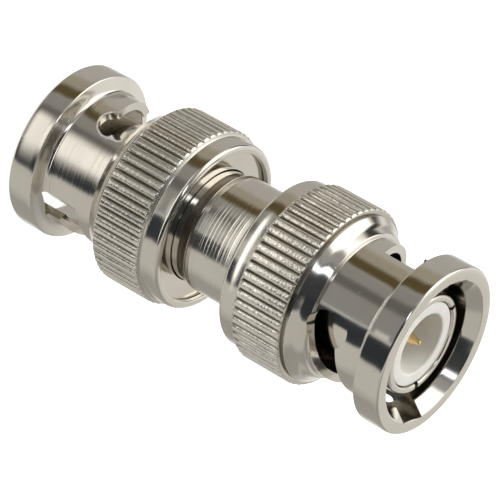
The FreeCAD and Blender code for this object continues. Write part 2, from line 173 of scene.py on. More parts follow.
class ShaderTree:
    """A node tree that is filled through one method."""

    def __init__(self, owner: Any) -> None:
        """Empty a node tree.

        Args:
            owner: The material or the world that it belongs to.
        """
        owner.use_nodes = True
        self.tree = owner.node_tree
        self.tree.nodes.clear()

    def node(
        self,
        kind: str,
        settings: Optional[dict[str, Any]] = None,
        inputs: Optional[dict[Any, Any]] = None,
        output: Union[int, str] = 0,
    ) -> Number:
        """Add any node.

        Args:
            kind: The node's type.
            settings: Its settings, set before its inputs.
            inputs: Values or links of its sockets, by name or index.
            output: The output socket that is handed back.

        Returns:
            The chosen output, ready for arithmetic or as another node's input.
        """
        made = self.tree.nodes.new(kind)
        for name, value in (settings or {}).items():
            setattr(made, name, value)
        for key, value in (inputs or {}).items():
            if isinstance(value, Number):
                self.tree.links.new(value.socket, made.inputs[key])
            else:
                made.inputs[key].default_value = value
        return Number(self, made.outputs[output])

    def position(self) -> tuple[Number, Number, Number, Number]:
        """Place on the piece.

        Returns:
            The position vector, and its x, y and z in millimetres.
        """
        place = self.node("ShaderNodeTexCoord", output="Object")
        parts = [self.node("ShaderNodeSeparateXYZ", inputs={0: place}, output=i) for i in range(3)]
        return (place, *[part * (1 / MM) for part in parts])

    def noise(self, place: Number, scale: float, detail: float = 2.0) -> Number:
        """Noise in space, with so many cells to a metre."""
        return self.node("ShaderNodeTexNoise", inputs={
            "Vector": place, "Scale": scale, "Detail": detail})

    def bump(self, height: Number) -> Number:
        """Normal of a surface with a relief, whose height is in millimetres."""
        return self.node("ShaderNodeBump", inputs={
            "Strength": 1.0, "Distance": MM, "Height": height})

    def mixed(self, share: Number, first: Any, second: Any) -> Number:
        """Colour that goes from the first to the second as the share goes from 0 to 1."""
        colours = [(*part, 1.0) if isinstance(part, tuple) else part for part in (first, second)]
        return self.node("ShaderNodeMix", {"data_type": "RGBA"}, {
            "Factor": share, 6: colours[0], 7: colours[1]}, output=2)

    def surface(self, shader: Number, kind: str = "ShaderNodeOutputMaterial") -> None:
        """Link a shader to the tree's output."""
        made = self.tree.nodes.new(kind)
        self.tree.links.new(shader.socket, made.inputs["Surface"])


# Finishes


@dataclass(frozen=True)
class Nickel:
    """Bright nickel plate over turned brass, with fine tool marks round the axis.

    Noise scales are in cells to a metre. The groove is a ring painted dark as shade: its two
    heights from the mid-plane and the radius that it lies under. The roots of the grip's flutes
    are painted darker as shade too.
    """

    name: str
    middle: float
    colour: Colour = (0.71, 0.675, 0.61)
    roughness: float = 0.12
    dulling: float = 0.88
    worn_share: float = 0.35
    worn_scale: float = 350.0
    worn_band: tuple[float, float] = (0.35, 0.75)
    worn_spread: float = 0.08
    mark_depth: float = 0.0015
    marked_radius: float = 5.65
    marked_blur: float = 0.15
    marks_lost: float = 0.9
    mark_slant: float = 0.8
    ripple_depth: float = 0.006
    ripple_scale: float = 330.0
    pit_depth: float = 0.006
    pit_scale: float = 1500.0
    pit_edge: float = 0.10
    grain_depth: float = 0.0
    grain_scale: float = 5200.0
    grip_crest: float = 7.18
    grip_root: float = 7.05
    grip_rear: float = 4.6
    grip_front: float = 8.9
    grip_blur: float = 0.1
    # Painted highlight: the crests of the grip are made lighter
    crest_highlight_colour: Colour = (0.93, 0.90, 0.82)
    crest_highlight_share: float = 0.5
    crest_roughness: float = 0.10
    root_shade_share: float = 0.45
    root_roughness: float = 0.20
    root_blur: float = 0.02
    groove: Optional[tuple[float, float, float]] = None
    groove_roughness: float = 0.3
    blur_outside: float = 0.05
    blur_inside: float = 0.02
    blur_under: float = 0.08
    # Colour of the painted shade in the flute roots and in the groove
    painted_shade: Colour = (0.11, 0.080, 0.045)
    painted_shade_share: float = 0.55
    painted_shade_spread: float = 0.5

    def material(self) -> Material:
        """Build the finish.

        Returns:
            The material.
        """
        material = bpy.data.materials.new(self.name)
        tree = ShaderTree(material)
        place, x, y, z = tree.position()
        radius = (x * x + y * y).math("SQRT")
        from_middle = (z - self.middle).math("ABSOLUTE")
        worn = tree.noise(place, self.worn_scale, detail=4.0)
        marked = 1 - self.marks_lost * radius.between(
            self.marked_radius, self.marked_radius + self.marked_blur)
        height = self.marks(tree, place, z + radius * self.mark_slant) * marked * self.mark_depth
        height = height + tree.noise(place, self.ripple_scale, detail=1.0) * self.ripple_depth
        height = height + self.pits(tree, place) * self.pit_depth
        roughness = worn * self.worn_spread + (self.roughness - self.worn_spread / 2)
        dull = tuple(part * self.dulling for part in self.colour)
        colour = tree.mixed(worn.between(*self.worn_band) * self.worn_share, self.colour, dull)
        if self.grain_depth:
            crest, root = self.grip(radius, from_middle)
            height = height + crest * tree.noise(place, self.grain_scale) * self.grain_depth
            roughness = roughness + crest * self.crest_roughness + root * self.root_roughness
            # Painted highlight on the crests and painted shade in the flute roots
            colour = tree.mixed(crest * self.crest_highlight_share, colour, self.crest_highlight_colour)
            colour = tree.mixed(root * self.root_shade_share, colour, self.painted_shade)
        if self.groove:
            # Painted shade: the groove is darkened
            sunk = self.sunk(radius, from_middle)
            groove_shade = sunk * (worn * self.painted_shade_spread + self.painted_shade_share)
            colour = tree.mixed(groove_shade, colour, self.painted_shade)
            roughness = roughness + sunk * self.groove_roughness
        tree.surface(tree.node("ShaderNodeBsdfPrincipled", inputs={
            "Base Color": colour, "Metallic": 1.0, "Roughness": roughness,
            "Normal": tree.bump(height)}))
        return material

    def grip(self, radius: Number, from_middle: Number) -> tuple[Number, Number]:
        """Masks of the crests between the flutes, painted lighter as a highlight, and of the
        flutes' roots, painted darker as shade.

        Args:
            radius: Distance from the axis.
            from_middle: Distance from the mid-plane.

        Returns:
            The mask of the crests and the mask of the roots.
        """
        front = self.grip_front
        along = (from_middle.between(self.grip_rear - self.grip_blur, self.grip_rear)
                 * (1 - from_middle.between(front, front + self.grip_blur)))
        return (along * radius.between(self.grip_root, self.grip_crest),
                along * (1 - radius.between(self.grip_root - self.root_blur, self.grip_crest)))

    def sunk(self, radius: Number, from_middle: Number) -> Number:
        """Mask of the groove that is painted dark as shade.

        Args:
            radius: Distance from the axis.
            from_middle: Distance from the mid-plane.

        Returns:
            1 in the groove and 0 off it.
        """
        rear, front, under = self.groove
        inside, outside = self.blur_inside, self.blur_outside
        return (from_middle.between(rear - outside, rear + inside)
                * (1 - from_middle.between(front - inside, front + outside))
                * (1 - radius.between(under - self.blur_under, under)))

    def pits(self, tree: ShaderTree, place: Number) -> Number:
        """Small scattered pits in the plate, 1 in their middles."""
        cells = tree.node("ShaderNodeTexVoronoi", inputs={
            "Vector": place, "Scale": self.pit_scale})
        return 1 - cells.between(0.0, self.pit_edge)

    @staticmethod
    def marks(tree: ShaderTree, place: Number, along: Number) -> Number:
        """Coarse and fine tool marks, wavering a little, along the outline of a turned piece.

        Args:
            tree: The tree that the noise is added to.
            place: The position vector.
            along: Distance along the outline.

        Returns:
            The height of the marks, from 0 to 1.
        """
        wavering = along + tree.noise(place, WAVER_SCALE) * WAVER_REACH
        coarse, fine = [
            tree.node("ShaderNodeTexNoise", {"noise_dimensions": "1D"}, {
                "W": wavering, "Scale": scale, "Detail": 2.0}) * share
            for scale, share in MARKS]
        return coarse + fine


@dataclass(frozen=True)
class Gold:
    """Satin gold plate of the centre pins."""

    name: str = "pin_gold"
    colour: Colour = (0.86, 0.64, 0.30)
    smoothest: float = 0.18
    cloudiness: float = 0.12
    cloud_scale: float = 1200.0
    mark_depth: float = 0.003

    def material(self) -> Material:
        """Build the finish.

        Returns:
            The material.
        """
        material = bpy.data.materials.new(self.name)
        tree = ShaderTree(material)
        place, _, _, z = tree.position()
        cloud = tree.noise(place, self.cloud_scale)
        tree.surface(tree.node("ShaderNodeBsdfPrincipled", inputs={
            "Base Color": (*self.colour, 1.0), "Metallic": 1.0,
            "Roughness": cloud * self.cloudiness + self.smoothest,
            "Normal": tree.bump(Nickel.marks(tree, place, z) * self.mark_depth)}))
        return material


@dataclass(frozen=True)
class Moulding:
    """Plastic or rubber with a faint mottle and a soft skin."""

    name: str
    colour: Colour
    shade: Colour
    roughness: float
    scatter: float = 0.0
    scatter_depth: float = 0.4
    mottle_scale: float = 700.0
    mottle_band: tuple[float, float] = (0.3, 0.7)
    mottle_spread: float = 0.1
    skin_scale: float = 4000.0
    skin_depth: float = 0.003

    def material(self) -> Material:
        """Build the finish.

        Returns:
            The material.
        """
        material = bpy.data.materials.new(self.name)
        tree = ShaderTree(material)
        place = tree.position()[0]
        mottle = tree.noise(place, self.mottle_scale, detail=4.0)
        colour = tree.mixed(mottle.between(*self.mottle_band), self.colour, self.shade)
        skin = tree.noise(place, self.skin_scale)
        tree.surface(tree.node("ShaderNodeBsdfPrincipled", inputs={
            "Base Color": colour, "Roughness": mottle * self.mottle_spread + self.roughness,
            "Subsurface Weight": self.scatter, "Subsurface Scale": self.scatter_depth * MM,
            "Normal": tree.bump(skin * self.skin_depth)}))
        return material


# Turned meshes


@dataclass(frozen=True)
class Corner:
    """A corner of a turned outline, with the length of its rounding."""

    radius: float
    height: float
    rounding: float = 0.0


def turned(corners: Sequence[Corner], steps: int = 256, longest: float = 1.0) -> Mesh:
    """Turn an outline about the Z axis.

    Args:
        corners: The outline; it is closed unless it starts and ends on the axis.
        steps: Facets round the axis, a multiple of the sectors.
        longest: Longest edge left along the outline.

    Returns:
        The closed mesh, in millimetres.
    """
    mesh = bmesh.new()
    points = [mesh.verts.new((corner.radius, 0, corner.height)) for corner in corners]
    on_axis = corners[0].radius == 0 and corners[-1].radius == 0
    pairs = list(zip(points, points[1:]))
    if not on_axis:
        pairs.append((points[-1], points[0]))
    for pair in pairs:
        mesh.edges.new(pair)
    for point, corner in zip(points, corners):
        if corner.rounding:
            bmesh.ops.bevel(
                mesh, geom=[point], offset=corner.rounding, offset_type="OFFSET",
                segments=ROUND_FACETS, profile=0.5, affect="VERTICES", material=-1)
    for edge in list(mesh.edges):
        cuts = int(edge.calc_length() / longest)
        if cuts:
            bmesh.ops.subdivide_edges(mesh, edges=[edge], cuts=cuts)
    bmesh.ops.spin(
        mesh, geom=mesh.verts[:] + mesh.edges[:], cent=(0, 0, 0), axis=(0, 0, 1),
        angle=FULL_TURN / SECTORS, steps=steps // SECTORS)
    copies_about_axis(mesh, SECTORS)
    bmesh.ops.remove_doubles(mesh, verts=mesh.verts, dist=SEAM)
    bmesh.ops.recalc_face_normals(mesh, faces=mesh.faces)
    return mesh


def as_object(mesh: Mesh, name: str) -> Object:
    """Put a bmesh in a new object of the scene.

    Args:
        mesh: The mesh, which is freed.
        name: The object's name, and its mesh's.

    Returns:
        The object.
    """
    data = bpy.data.meshes.new(name)
    mesh.to_mesh(data)
    mesh.free()
    made = bpy.data.objects.new(name, data)
    bpy.context.scene.collection.objects.link(made)
    return made


def cut(blank: Mesh, cutters: Sequence[Mesh]) -> Mesh:
    """Take closed shapes away from a mesh, one after the other.

    Args:
        blank: The closed mesh that is cut; it is freed.
        cutters: The meshes that are taken away; they are freed.

    Returns:
        The mesh that is left.
    """
    body = as_object(blank, "blank")
    tools = [as_object(cutter, "cutter") for cutter in cutters]
    for tool in tools:
        step = body.modifiers.new("cut", "BOOLEAN")
        step.operation = "DIFFERENCE"
        step.solver = "MANIFOLD"
        step.object = tool
    ready = body.evaluated_get(bpy.context.evaluated_depsgraph_get())
    left = bmesh.new()
    left.from_mesh(ready.to_mesh())
    for used in [body] + tools:
        data = used.data
        bpy.data.objects.remove(used)
        bpy.data.meshes.remove(data)
    bmesh.ops.remove_doubles(left, verts=left.verts, dist=SEAM / 10)
    return left


def dressed(mesh: Mesh, node: str, placement: Matrix, body: str, slot: str,
            *finishes: Material) -> Object:
    """Bring a mesh from millimetres to its place in the frame, and dress it.

    Args:
        mesh: The mesh, which is freed.
        node: The solid that it stands for.
        placement: Its place, in millimetres.
        body: The body that it rides with.
        slot: Not used.
        finishes: Its materials, in the order of its faces' indices.

    Returns:
        The piece, at the origin with its place in its mesh.
    """
    bmesh.ops.transform(mesh, matrix=Matrix.Scale(MM, 4) @ placement, verts=mesh.verts)
    piece = as_object(mesh, node + "_turned")
    piece.data.shade_smooth()
    piece.data.set_sharp_from_angle(angle=SHARP_ANGLE)
    for finish in finishes:
        piece.data.materials.append(finish)
    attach(piece, body)
    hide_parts(node)
    return piece


def add_mesh(mesh: Mesh, other: Mesh) -> None:
    """Add everything in another mesh.

    Args:
        mesh: The mesh that grows.
        other: The mesh that is added, which is freed.
    """
    data = bpy.data.meshes.new("added")
    other.to_mesh(data)
    other.free()
    mesh.from_mesh(data)
    bpy.data.meshes.remove(data)


def copies_about_axis(mesh: Mesh, count: int) -> Mesh:
    """Repeat everything in a mesh about the Z axis.

    Args:
        mesh: The mesh.
        count: How many there are in the end, evenly spaced.

    Returns:
        The same mesh.
    """
    first = mesh.verts[:] + mesh.edges[:] + mesh.faces[:]
    for step in range(1, count):
        copy = bmesh.ops.duplicate(mesh, geom=first)["geom"]
        turn = Matrix.Rotation(FULL_TURN * step / count, 3, "Z")
        verts = [item for item in copy if isinstance(item, bmesh.types.BMVert)]
        bmesh.ops.rotate(mesh, cent=(0, 0, 0), matrix=turn, verts=verts)
    return mesh


def block(low: Vector, high: Vector) -> Mesh:
    """Block between two corners.

    Args:
        low: The corner with the lowest X, Y and Z.
        high: The corner with the highest.

    Returns:
        The block.
    """
    mesh = bmesh.new()
    middle = Matrix.Translation((low + high) / 2) @ Matrix.Diagonal((*(high - low), 1))
    bmesh.ops.create_cube(mesh, size=1.0, matrix=middle)
    return mesh


def cross_bar(radius: float, height: float, reach: float) -> Mesh:
    """Round bar across the wall on the -Y side, to drill it.

    Args:
        radius: Radius of the bar.
        height: Height of its middle line.
        reach: Distance of its centre from the axis.

    Returns:
        The bar, half as long as its reach.
    """
    mesh = bmesh.new()
    lying = Matrix.Translation((0, -reach, height)) @ Matrix.Rotation(math.pi / 2, 4, "X")
    bmesh.ops.create_cone(
        mesh, cap_ends=True, segments=DRILL_FACETS, radius1=radius, radius2=radius,
        depth=reach / 2, matrix=lying)
    return mesh


# Sub-assemblies


@dataclass
class CouplingNut:
    """Knurled nut with a rolled rim, stepped sleeve, bayonet slots and mouth collar."""

    half: float
    rim_rear: float = 2.96
    rim_front: float = 3.39
    rim_opening: float = 6.17
    rim_round: float = 0.35
    boss_radius: float = 6.85
    boss_front: float = 4.46
    boss_round: float = 0.06
    recess_radius: float = 6.40
    recess_front: float = 3.97
    cavity_radius: float = 5.80
    shoulder: float = 6.12
    grip_rear: float = 4.58
    grip_length: float = 4.07
    grip_radius: float = 7.25
    grip_chamfer: float = 0.15
    grip_round: float = 0.03
    flute_count: int = 58
    flute_depth: float = 0.30
    flute_end: float = 0.32
    flute_margin: float = 0.05
    steps_per_flute: int = 8
    longest_edge: float = 0.6
    undercut_radius: float = 6.60
    undercut_width: float = 0.20
    ring_radius: float = 6.85
    ring_length: float = 0.60
    second_ring_radius: float = 6.25
    second_ring_length: float = 0.67
    second_ring_round: float = 0.20
    shoulder_radius: float = 5.88
    shoulder_round: float = 0.12
    sleeve_radius: float = 5.60
    bore_radius: float = 4.95
    foot_length: float = 0.46
    foot_round: float = 0.25
    ridge_radius: float = 6.05
    ridge_length: float = 0.26
    collar_radius: float = 6.80
    collar_length: float = 2.24
    collar_round: float = 0.26
    mouth_radius: float = 5.75
    mouth_depth: float = 0.97
    mouth_round: float = 0.08
    soft_round: float = 0.10
    fine_round: float = 0.05
    detent_radius: float = 1.32
    detent_depth: float = 5.60
    channel_width: float = 2.40
    channel_depth: float = 6.38
    channel_pitch: float = 6.30
    channel_sweep: float = 102.5
    channel_steps: int = 60
    entry_width: float = 2.50
    entry_depth: float = 5.30
    entry_reach: float = 5.70
    slot_count: int = 2
    cut_inside: float = 0.5
    burr_inset: float = 0.08

    def outline(self) -> list[Corner]:
        """Outline from the rolled rim over the outside to the mouth and back through the bore.

        Returns:
            Its corners, with heights from the mid-plane.
        """
        grip_front = self.grip_rear + self.grip_length + 2 * self.grip_chamfer
        chamfer_radius = self.grip_radius - self.grip_chamfer
        rings_rear = grip_front + self.undercut_width
        ring_front = rings_rear + self.ring_length
        second_front = ring_front + self.second_ring_length
        collar_rear = self.half - self.collar_length
        return [
            Corner(self.rim_opening, self.rim_rear, self.soft_round),
            Corner(self.boss_radius, self.rim_rear, self.rim_round),
            Corner(self.boss_radius, self.boss_front, self.boss_round),
            Corner(chamfer_radius, self.grip_rear, self.grip_round),
            Corner(self.grip_radius, self.grip_rear + self.grip_chamfer, self.grip_round),
            Corner(self.grip_radius, grip_front - self.grip_chamfer, self.grip_round),
            Corner(chamfer_radius, grip_front, self.grip_round),
            Corner(self.undercut_radius, grip_front, self.fine_round),
            Corner(self.undercut_radius, rings_rear, self.fine_round),
            Corner(self.ring_radius, rings_rear, self.soft_round),
            Corner(self.second_ring_radius, ring_front, self.second_ring_round),
            Corner(self.shoulder_radius, second_front, self.shoulder_round),
            Corner(self.sleeve_radius, second_front, self.shoulder_round),
            Corner(self.sleeve_radius, collar_rear - self.foot_length, self.foot_round),
            Corner(self.ridge_radius, collar_rear - self.ridge_length, self.mouth_round),
            Corner(self.collar_radius, collar_rear, self.soft_round),
            Corner(self.collar_radius, self.half, self.collar_round),
            Corner(self.mouth_radius, self.half, self.mouth_round),
            Corner(self.bore_radius, self.half - self.mouth_depth, self.mouth_round),
            Corner(self.bore_radius, self.shoulder, self.fine_round),
            Corner(self.cavity_radius, self.shoulder),
            Corner(self.cavity_radius, self.recess_front),
            Corner(self.recess_radius, self.recess_front),
            Corner(self.recess_radius, self.rim_front),
            Corner(self.rim_opening, self.rim_front, self.soft_round),
        ]

    def cut_flutes(self, mesh: Mesh) -> None:
        """Press narrow flutes into the grip by drawing its points toward the axis.

        Args:
            mesh: The turned nut.
        """
        pitch = FULL_TURN / self.flute_count
        grip_front = self.grip_rear + self.grip_length + 2 * self.grip_chamfer
        root = self.grip_radius - self.flute_depth
        for vert in mesh.verts:
            radius = math.hypot(vert.co.x, vert.co.y)
            from_end = min(vert.co.z - self.grip_rear, grip_front - vert.co.z)
            if radius < root or from_end < self.flute_margin:
                continue
            angle = math.atan2(vert.co.y, vert.co.x) - math.pi / 2
            across = abs((angle / pitch + 0.5) % 1.0 - 0.5) * 2
            hollow = (1 - math.sin(across * math.pi / 2)) ** 2
            hollow *= math.sin(min(from_end / self.flute_end, 1.0) * math.pi / 2)
            allowed = self.grip_radius - self.flute_depth * hollow
            if radius > allowed:
                vert.co.x *= allowed / radius
                vert.co.y *= allowed / radius

    def channel(self) -> Mesh:
        """Helical channel that winds round the axis toward the mouth.

        Returns:
            The shape that it takes away.
        """
        mesh = bmesh.new()
        height = self.half - self.channel_depth
        inner = self.bore_radius - self.cut_inside
        lying = Matrix.Translation((0, -(inner + self.collar_radius) / 2, height))
        upright = Matrix.Rotation(math.pi / 2, 4, "Y")
        size = Matrix.Diagonal((self.channel_width, self.collar_radius - inner, 1, 1))
        bmesh.ops.create_grid(
            mesh, x_segments=1, y_segments=1, size=0.5, matrix=lying @ upright @ size)
        rise = self.channel_pitch * self.channel_sweep / 360 / self.channel_steps
        bmesh.ops.spin(
            mesh, geom=mesh.faces[:], cent=(0, 0, 0), axis=(0, 0, 1), dvec=(0, 0, rise),
            angle=math.radians(self.channel_sweep), steps=self.channel_steps,
            use_duplicate=False)
        bmesh.ops.recalc_face_normals(mesh, faces=mesh.faces)
        return mesh

    def holes(self) -> tuple[tuple[float, float], tuple[float, float]]:
        """Radius and depth from the mouth of the detent and of the channel's end."""
        return ((self.detent_radius, self.detent_depth),
                (self.channel_width / 2, self.channel_depth))

    def slot_cutters(self) -> list[Mesh]:
        """Shapes of both bayonet slots.

        Returns:
            Detent, channel end, helical channel and entry, each repeated for both slots.
        """
        side = self.entry_width / 2
        inner = self.bore_radius - self.cut_inside
        entry = block(Vector((inner, -side, self.half - self.entry_depth)),
                      Vector((self.entry_reach, side, self.half + CUT_PAST)))
        cutters = [cross_bar(radius, self.half - depth, self.sleeve_radius)
                   for radius, depth in self.holes()]
        cutters += [self.channel(), entry]
        return [copies_about_axis(cutter, self.slot_count) for cutter in cutters]

    def is_metal(self, place: Vector) -> bool:
        """Tell whether the sleeve is whole near the slot that is cut on its -Y side.

        Args:
            place: A place on the sleeve.

        Returns:
            Whether no opening is there.
        """
        in_hole = any(
            math.hypot(place.x, place.z - (self.half - depth)) <= radius - self.burr_inset
            for radius, depth in self.holes())
        sweep = math.degrees(math.atan2(place.x, -place.y))
        middle = self.half - self.channel_depth + self.channel_pitch * sweep / 360
        near = abs(place.z - middle) < self.channel_width / 2 - self.burr_inset
        return not in_hole and not (place.x > 0 and near)

    def shape(self) -> Mesh:
        """Model the nut.

        Returns:
            The fluted and slotted nut, with its heights from the mid-plane.
        """
        steps = self.flute_count * self.steps_per_flute
        blank = turned(self.outline(), steps=steps, longest=self.longest_edge)
        self.cut_flutes(blank)
        return cut(blank, self.slot_cutters())

    def add_burrs(self, mesh: Mesh) -> None:
        """Leave a burr round each detent and round each channel's end.

        Args:
            mesh: The nut.
        """
        for radius, depth in self.holes():
            burr = Burr(self.sleeve_radius, radius, self.half - depth).shape(self.is_metal)
            for face in burr.faces:
                face.material_index = 1
            add_mesh(mesh, copies_about_axis(burr, self.slot_count))

    def build(self, end: End, turn: float, finish: Material, burr_finish: Material) -> Object:
        """Build the nut of one plug; only the lower one has burrs.

        Args:
            end: The plug.
            turn: Turn of the slots about the axis, in degrees.
            finish: The nut's material.
            burr_finish: The material of its burrs.

        Returns:
            The finished piece, riding with its nut body.
        """
        mesh = self.shape()
        worn = [finish]
        if end is End.LOWER:
            self.add_burrs(mesh)
            worn.append(burr_finish)
        return dressed(mesh, end.value + "_coupling_nut", end.placement(self.half, turn),
                       end.value + "_nut", "nickel_knurled", *worn)


@dataclass
class Burr:
    """Thin ragged rim that the drill left round a hole in the sleeve."""

    sleeve_radius: float
    hole_radius: float
    height: float
    thickness: float = 0.075
    proud: float = 0.03
    overlap: float = 0.4
    raggedness: float = 0.07
    ragged_scale: float = 4.0
    sides: int = 8
    steps: int = 160

    def shape(self, clear: Callable[[Vector], bool]) -> Mesh:
        """Rim round the hole, left out where another opening crosses it.

        Args:
            clear: Tells whether there is metal at a place on the sleeve.

        Returns:
            The rim as closed lengths of wire.
        """
        mesh = bmesh.new()
        bmesh.ops.create_circle(
            mesh, segments=self.sides, radius=self.thickness,
            matrix=Matrix.Translation((self.hole_radius + self.overlap * self.thickness, 0, 0))
            @ Matrix.Rotation(math.pi / 2, 4, "X"))
        bmesh.ops.spin(
            mesh, geom=mesh.verts[:] + mesh.edges[:], cent=(0, 0, 0), axis=(0, 0, 1),
            angle=FULL_TURN, steps=self.steps)
        bmesh.ops.remove_doubles(mesh, verts=mesh.verts, dist=SEAM)
        upright = Matrix.Rotation(math.pi / 2, 4, "X")
        bmesh.ops.transform(mesh, matrix=upright, verts=mesh.verts)
        for vert in mesh.verts:
            ragged = noise.noise(vert.co * self.ragged_scale) * self.raggedness
            wall = math.sqrt(self.sleeve_radius ** 2 - vert.co.x ** 2)
            vert.co.y -= wall + self.proud + ragged
            vert.co.z += self.height
        crossed = [face for face in mesh.faces if not clear(face.calc_center_median())]
        bmesh.ops.delete(mesh, geom=crossed, context="FACES")
        bmesh.ops.holes_fill(mesh, edges=mesh.edges, sides=self.sides)
        bmesh.ops.recalc_face_normals(mesh, faces=mesh.faces)
        return mesh


@dataclass
class Plug:
    """Contact, insulator, pin, gasket, washers and springs of one plug."""

    end: End
    half: float
    finishes: dict[str, Material]
    barrel_end: float = 2.90
    spigot_radius: float = 3.60
    spigot_rear: float = 0.90
    line_bore: float = 2.90
    neck_radius: float = 4.55
    flange_radius: float = 5.60
    flange_rear: float = 5.40
    flange_front: float = 6.10
    gasket_seat: float = 3.80
    gasket_gap: float = 0.03
    gasket_radius: float = 4.85
    gasket_front: float = 7.50
    gasket_round: float = 0.25
    tube_radius: float = 4.05
    tube_inside: float = 3.50
    tube_rear: float = 7.60
    rear_round: float = 0.05
    tube_tip: float = 16.75
    tip_round: float = 0.22
    tip_round_inside: float = 0.15
    step_height: float = 8.00
    slit_count: int = 3
    slit_width: float = 0.40
    slit_length: float = 5.60
    slit_turn: float = 10.0
    insulator_gap: float = 0.05
    insulator_face: float = 16.60
    insulator_round: float = 0.15
    recess_radius: float = 2.45
    recess_floor: float = 11.15
    wire_hole: float = 1.05
    wire_hole_round: float = 0.05
    bead_end: float = 3.00
    spigot: tuple[float, float] = (0.50, -2.0)
    socket: tuple[float, float] = (0.53, 2.1)
    pin_collar_radius: float = 1.50
    pin_collar_rear: float = 2.40
    wire_radius: float = 1.00
    wire_front: float = 0.30
    wire_round: float = 0.05
    pin_rear: float = 0.65
    pin_rear_round: float = 0.10
    pin_radius: float = 0.675
    pin_tip: float = 16.45
    pin_tip_radius: float = 0.16
    pin_point: float = 1.90
    pin_point_round: float = 0.40
    washer_hole: float = 4.63
    slip_radius: float = 5.70
    slip_rear: float = 3.93
    slip_front: float = 4.18
    retaining_radius: float = 6.35
    retaining_rear: float = 3.43
    washer_edge: float = 0.03
    wave_radius: float = 5.60
    wave_thickness: float = 0.20
    wave_height: float = 0.58
    wave_count: int = 3
    wave_gap: float = 0.02
    wave_kept: float = 0.40
    pieces: list[Object] = field(default_factory=list)

    def add(self, mesh: Mesh, node: str, slot: str, turn: float = 0.0,
            body: str = "core") -> Object:
        """Place and dress one piece of the plug.

        Args:
            mesh: Its mesh, in millimetres.
            node: The solid that it stands for, without the plug's name.
            slot: The finish that it wears.
            turn: Its turn about its own axis, in degrees.
            body: The body that it rides with.

        Returns:
            The piece.
        """
        piece = dressed(mesh, self.end.value + node, self.end.placement(self.half, turn),
                        body, slot, self.finishes[slot])
        self.pieces.append(piece)
        return piece

    def contact(self) -> Mesh:
        """Outer contact with its flange and slit tube.

        Returns:
            The contact.
        """
        blank = turned([
            Corner(self.line_bore, self.spigot_rear), Corner(self.spigot_radius, self.spigot_rear),
            Corner(self.spigot_radius, self.barrel_end), Corner(self.neck_radius, self.barrel_end),
            Corner(self.neck_radius, self.flange_rear),
            Corner(self.flange_radius, self.flange_rear),
            Corner(self.flange_radius, self.flange_front),
            Corner(self.gasket_seat, self.flange_front), Corner(self.gasket_seat, self.tube_rear),
            Corner(self.tube_radius, self.tube_rear, self.rear_round),
            Corner(self.tube_radius, self.tube_tip, self.tip_round),
            Corner(self.tube_inside, self.tube_tip, self.tip_round_inside),
            Corner(self.tube_inside, self.step_height), Corner(self.line_bore, self.step_height),
        ], longest=0.8)
        side = self.slit_width / 2
        slit = block(Vector((-side, -self.flange_radius, self.tube_tip - self.slit_length)),
                     Vector((side, -CUT_PAST, self.tube_tip + CUT_PAST)))
        return cut(blank, [copies_about_axis(slit, self.slit_count)])

    def insulator(self) -> Mesh:
        """Stepped insulator with its recess round the pin.

        Returns:
            The insulator.
        """
        head = self.tube_inside - self.insulator_gap
        stem = self.line_bore - self.insulator_gap
        return turned([
            Corner(self.wire_hole, self.bead_end), Corner(stem, self.bead_end),
            Corner(stem, self.step_height), Corner(head, self.step_height),
            Corner(head, self.insulator_face, self.insulator_round),
            Corner(self.recess_radius, self.insulator_face, self.insulator_round),
            Corner(self.recess_radius, self.recess_floor, self.insulator_round),
            Corner(self.wire_hole, self.recess_floor, self.wire_hole_round),
        ], longest=1.2)

    def pin(self) -> Mesh:
        """Centre pin, with a spigot at the foot of the upper one and a socket in the lower.

        Returns:
            The pin.
        """
        joint, depth = self.spigot if self.end is End.UPPER else self.socket
        collar, collar_rear = self.pin_collar_radius, self.pin_collar_rear
        return turned([
            Corner(0, depth), Corner(joint, depth), Corner(joint, 0),
            Corner(self.wire_radius, 0), Corner(self.wire_radius, collar_rear),
            Corner(collar, collar_rear), Corner(collar, self.bead_end),
            Corner(self.wire_radius, self.bead_end),
            Corner(self.wire_radius, self.recess_floor + self.wire_front, self.wire_round),
            Corner(self.pin_radius, self.recess_floor + self.pin_rear, self.pin_rear_round),
            Corner(self.pin_radius, self.pin_tip - self.pin_point, self.pin_point_round),
            Corner(self.pin_tip_radius, self.pin_tip, self.pin_tip_radius / 2),
            Corner(0, self.pin_tip),
        ], steps=96, longest=0.8)

    def gasket(self) -> Mesh:
        """Rubber ring at the root of the contact tube."""
        inner, outer = self.gasket_seat + self.gasket_gap, self.gasket_radius
        return turned([
            Corner(inner, self.flange_front), Corner(outer, self.flange_front),
            Corner(outer, self.gasket_front, self.gasket_round),
            Corner(inner, self.gasket_front, self.gasket_round),
        ])

    def washer(self, outside: float, rear: float, front: float) -> Mesh:
        """Flat ring with slightly broken edges."""
        edge = self.washer_edge
        return turned([
            Corner(self.washer_hole, rear, edge), Corner(outside, rear, edge),
            Corner(outside, front, edge), Corner(self.washer_hole, front, edge),
        ], longest=0.4)

    def wave_spring(self, rear: float, turn: float) -> Mesh:
        """Washer bent into waves.

        Args:
            rear: Height of its lowest points.
            turn: Turn of its waves about the axis, in radians.

        Returns:
            The spring, unloaded.
        """
        mesh = self.washer(self.wave_radius, rear, rear + self.wave_thickness)
        swing = (self.wave_height - self.wave_thickness) / 2
        for vert in mesh.verts:
            angle = math.atan2(vert.co.y, vert.co.x)
            vert.co.z += swing * (1 + math.cos(self.wave_count * (angle - turn)))
        return mesh

    def add_springs(self) -> None:
        """Stack both wave springs crest to crest, unloaded; real ones flatten as the nut slides
        forward.
        """
        rear = self.slip_front + self.wave_gap
        front = rear + self.wave_height + self.wave_gap
        seat = self.end.placement(self.half, 0) @ Vector((0, 0, self.flange_rear)) * MM
        for node, height, turn in (("_wave_spring_rear", rear, 0.0),
                                   ("_wave_spring_front", front, math.pi / self.wave_count)):
            spring = self.add(self.wave_spring(height, turn), node, "spring_steel")
            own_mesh(spring)

